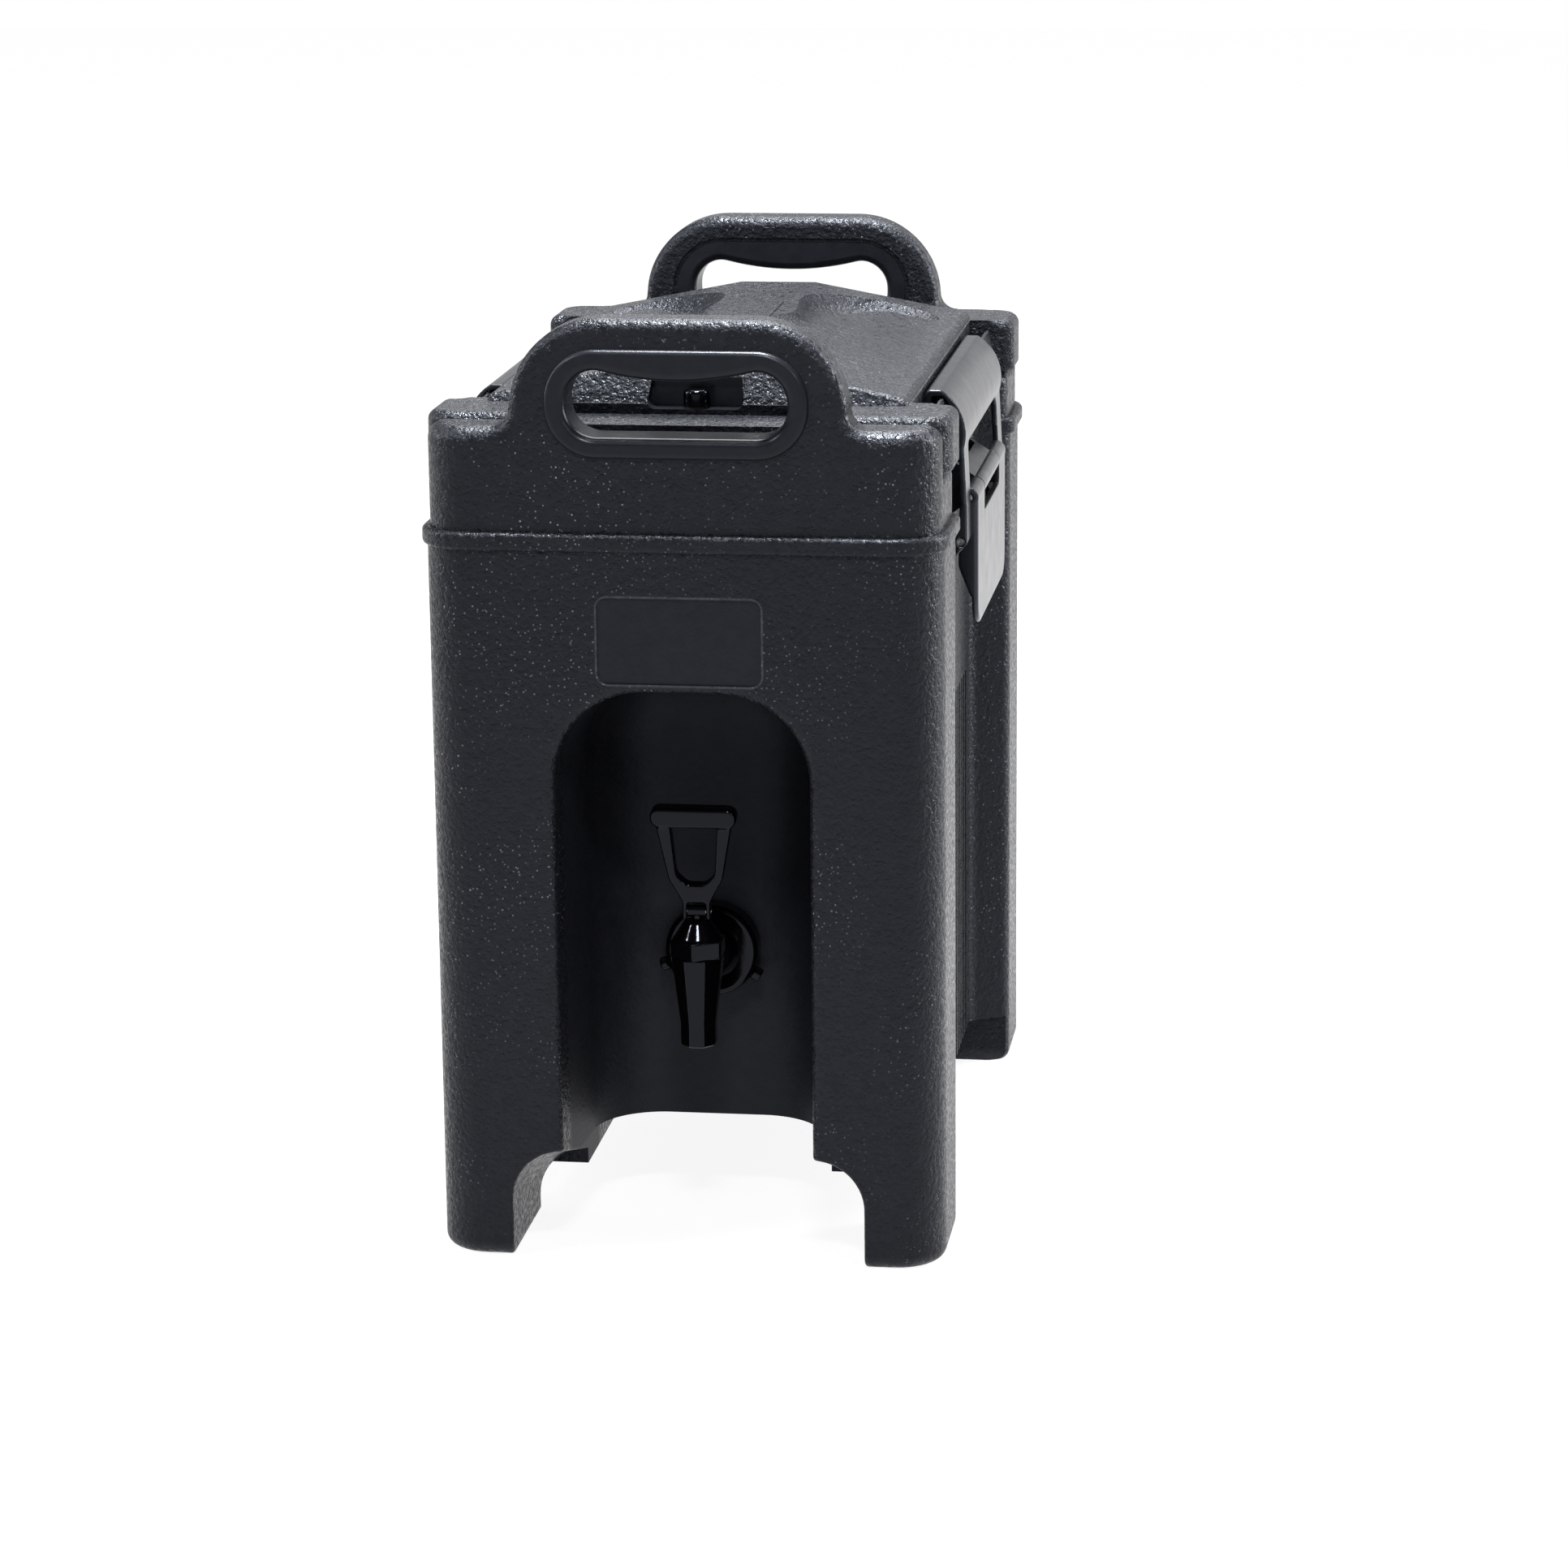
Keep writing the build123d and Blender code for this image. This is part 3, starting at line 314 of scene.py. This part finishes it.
def drawnSteel():
    # stainless wire and pins: bright metal with fine lines left along it by the drawing die;
    # the lines are finer than 0.1 mm, and drawn coarser so that they show
    look = {"colour": "#bcbdba", "roughness": 0.26, "spread": 0.3, "line": 0.4, "detail": 2.0,
            "stretch": (1, 0.06, 1), "relief": 0.15, "depth": 0.1}
    material, tree = newMaterial("drawn_stainless_steel")
    place = addNode(tree, "ShaderNodeTexCoord").outputs["Object"]
    along = addNode(tree, "ShaderNodeVectorMath", {"operation": "MULTIPLY", 1: look["stretch"]},
                    {0: place}).outputs[0]
    lines = addNode(tree, "ShaderNodeTexNoise",
                    {"Scale": perMetre(look["line"]), "Detail": look["detail"]},
                    {"Vector": along}).outputs["Fac"]
    rough = addNode(tree, "ShaderNodeMapRange",
                    {"To Min": look["roughness"] * (1 - look["spread"]),
                     "To Max": look["roughness"] * (1 + look["spread"])},
                    {"Value": lines}).outputs["Result"]
    bump = addNode(tree, "ShaderNodeBump",
                   {"Strength": look["relief"], "Distance": look["depth"] * mm}, {"Height": lines})
    shader = addNode(tree, "ShaderNodeBsdfPrincipled",
                     {"Base Color": linear(look["colour"]), "Metallic": 1.0},
                     {"Roughness": rough, "Normal": bump.outputs["Normal"]})
    addNode(tree, "ShaderNodeOutputMaterial", None, {"Surface": shader.outputs["BSDF"]})
    return material


# zones in metres, placed from the CAD boxes: where the mould is polished or calmer than elsewhere
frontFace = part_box("body_base")[0][1]
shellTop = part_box("body_shell")[1][2]
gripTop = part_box("front_grip")[1][2]
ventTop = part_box("vent_cap")[1][2]
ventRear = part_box("vent_cap")[1][1]
gripRing = {"axes": (1, 0, 1), "centre": (0, 0, gripTop - 0.04), "inner": (0.038, 1, 0.001),
            "radius": 0.0245, "soft": 0.002, "relief": 0.06, "roughness": 0.3}
# the label panel's step gets a painted highlight along its edge
labelPanel = {"axes": (1, 1, 1), "centre": (0, frontFace + 0.001, shellTop - 0.06075),
              "inner": (0.034, 0.004, 0.0155), "radius": 0.0052, "soft": 0.0006,
              "relief": 0.25, "roughness": 0.36, "outline": 0.001, "outlineColour": "#3c3e44"}
alcove = {"axes": (1, 1, 1), "centre": (0, frontFace + 0.0615, 0.14),
          "inner": (0.03, 0.024, 0.112), "radius": 0.034, "soft": 0.004,
          "relief": 0.3, "roughness": 0.5}
ventPocket = {"axes": (1, 1, 1), "centre": (0, ventRear - 0.0055, ventTop - 0.0017),
              "inner": (0.0213, 0.007, 0.0064), "radius": 0.001, "soft": 0.0004,
              "relief": 0.05, "roughness": 0.25}
skin = ["body_base", "body_shell", "body_rim"] + [side + "rib_skin" for side in sides]
setMaterial(skin, polyethylene("rotomoulded_polyethylene", [labelPanel, alcove]))
setMaterial(["front_grip", "rear_grip"],
            polyethylene("rotomoulded_polyethylene_polished_ring", [gripRing]))
setMaterial(["lid_shell"], polyethylene("rotomoulded_polyethylene_lid", [ventPocket], relief=1.6))

# the moulded pieces; flow is the size of its changes, in mm
mouldings = {
    # satin black, with broad soft highlights
    "moulded_nylon": {
        "colour": "#0f1013", "roughness": 0.25, "ior": 1.53, "level": 0.42,
        "tint": paintedBlueSheen, "flow": 12, "relief": 0.12,
        "names": [side + part for side in sides
                  for part in ("latch_bracket", "latch_lever", "latch_strap")]},
    # deep black, polished, with small sharp highlights
    "moulded_gloss_polypropylene": {
        "colour": "#020203", "roughness": 0.1, "ior": 1.49, "level": 0.16,
        "tint": paintedBlueSheen, "flow": 6, "relief": 0.12,
        "names": ["faucet_body", "faucet_bonnet", "faucet_handle", "faucet_wing_nut",
                  "faucet_inner_nut", "faucet_stem", "vent_cap"]},
    # the tank side of the rotomoulding: even and waxy, with a slow wave
    "smooth_polyethylene": {
        "colour": "#121315", "roughness": 0.4, "ior": 1.51, "level": 0.3,
        "tint": paintedBlueSheen, "flow": 30, "relief": 0.2,
        "names": ["tank_liner", "lid_liner"]},
    # black rubber, soft and dull
    "moulded_silicone_rubber": {
        "colour": "#141414", "roughness": 0.6, "ior": 1.42, "level": 0.5,
        "tint": white, "flow": 8, "relief": 0.0,
        "names": ["lid_gasket", "vent_seal", "faucet_seat_cup", "faucet_outer_washer",
                  "faucet_inner_washer"]},
    # pale yellow and crumbly; its cells are about 0.3 mm, and drawn coarser so that they show
    "poured_polyurethane_foam": {
        "colour": "#d8c596", "roughness": 0.9, "ior": 1.45, "level": 0.3,
        "tint": white, "flow": 1.5, "relief": 0.8,
        "names": ["insulation_foam", "lid_foam"]},
}
for name, look in mouldings.items():
    setMaterial(look["names"], smoothMoulding(name, look))

hardware = [side + part for side in sides
            for part in ("bracket_screws", "lever_pin", "strap_pins")]
setMaterial(hardware + ["faucet_spring", "faucet_handle_pin"], drawnSteel())
print("materials set")

# the faucet's spring is its own piece, with its own mesh, hung on the carrier body
coil = {"slot": "steel", "body": "carrier", "joint": "faucet_stem_lift", "travel": 4 * mm}
spring = bpy.data.objects.new("faucet_spring_coil", nodes["faucet_spring"].data.copy())
bpy.context.scene.collection.objects.link(spring)
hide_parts("faucet_spring")
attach(spring, coil["body"])
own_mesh(spring)
print("spring set")

# a moulded piece has no sharp edge: it is meshed anew at an even size in mm, then smoothed
softEdges = {
    "handle": {"voxel": 0.4, "rounds": 40, "factor": 0.5, "names": ["faucet_handle"]},
    "faucet": {"voxel": 0.6, "rounds": 4, "factor": 0.5,
               "names": ["faucet_body", "faucet_bonnet", "faucet_wing_nut"]},
    "latches": {"voxel": 0.6, "rounds": 4, "factor": 0.5,
                "names": [side + part for side in sides
                          for part in ("latch_lever", "latch_strap")]},
}
for edges in softEdges.values():
    for name in edges["names"]:
        remesh = nodes[name].modifiers.new("evenMesh", "REMESH")
        remesh.mode = "VOXEL"
        remesh.voxel_size = edges["voxel"] * mm
        remesh.use_smooth_shade = True
        smooth = nodes[name].modifiers.new("roundEdges", "SMOOTH")
        smooth.factor = edges["factor"]
        smooth.iterations = edges["rounds"]
print("edges rounded")
